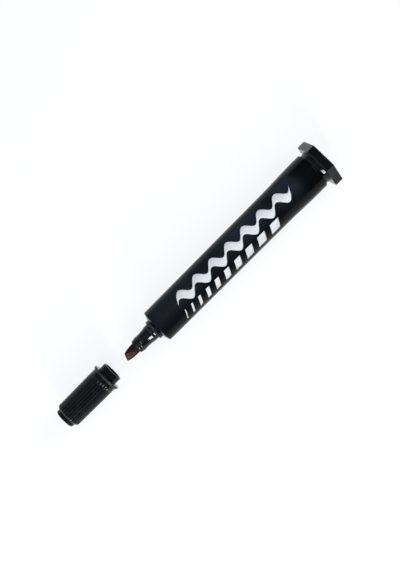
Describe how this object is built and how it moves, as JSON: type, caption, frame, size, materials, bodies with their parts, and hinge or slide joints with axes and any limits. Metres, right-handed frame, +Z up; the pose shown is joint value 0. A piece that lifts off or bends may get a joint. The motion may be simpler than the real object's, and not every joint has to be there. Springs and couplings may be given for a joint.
{
  "type": "chisel tip marker",
  "caption": "Round-barrelled chisel tip marker with a hexagonal anti-roll tail plug, a stepped nose, a slanted fibre nib, an inner ink reservoir and a ribbed, lined push-on cap drawn off it.",
  "frame": {"origin": "centre of the flat tail face, on the marker's axis", "axes": "+X along the marker from the tail to the nib and on to the cap, +Z up, with one flat of the tail hexagon facing -Z"},
  "size_m": [0.1624, 0.024, 0.0208],
  "materials": {
    "barrel_plastic": "satin black moulded polypropylene",
    "plug_plastic": "satin black moulded polypropylene",
    "holder_plastic": "glossy black moulded polypropylene",
    "nib_fibre": "bonded fibre soaked with black ink",
    "reservoir_fibre": "polyester fibre soaked with black ink",
    "film_plastic": "translucent wrapped film",
    "cap_plastic": "satin black moulded polypropylene",
    "liner_plastic": "satin black moulded polyethylene"
  },
  "bodies": {
    "marker": {"barrel": "barrel_plastic", "tail_plug": "plug_plastic", "nib_holder": "holder_plastic", "nib": "nib_fibre", "reservoir_core": "reservoir_fibre", "reservoir_film": "film_plastic"},
    "cap": {"cap_sleeve": "cap_plastic", "cap_liner": "liner_plastic"}
  },
  "joints": [
    {"name": "cap_slide", "type": "slide", "parent": "marker", "child": "cap", "axis": [1, 0, 0], "range_m": [-0.02515, 0]}
  ]
}
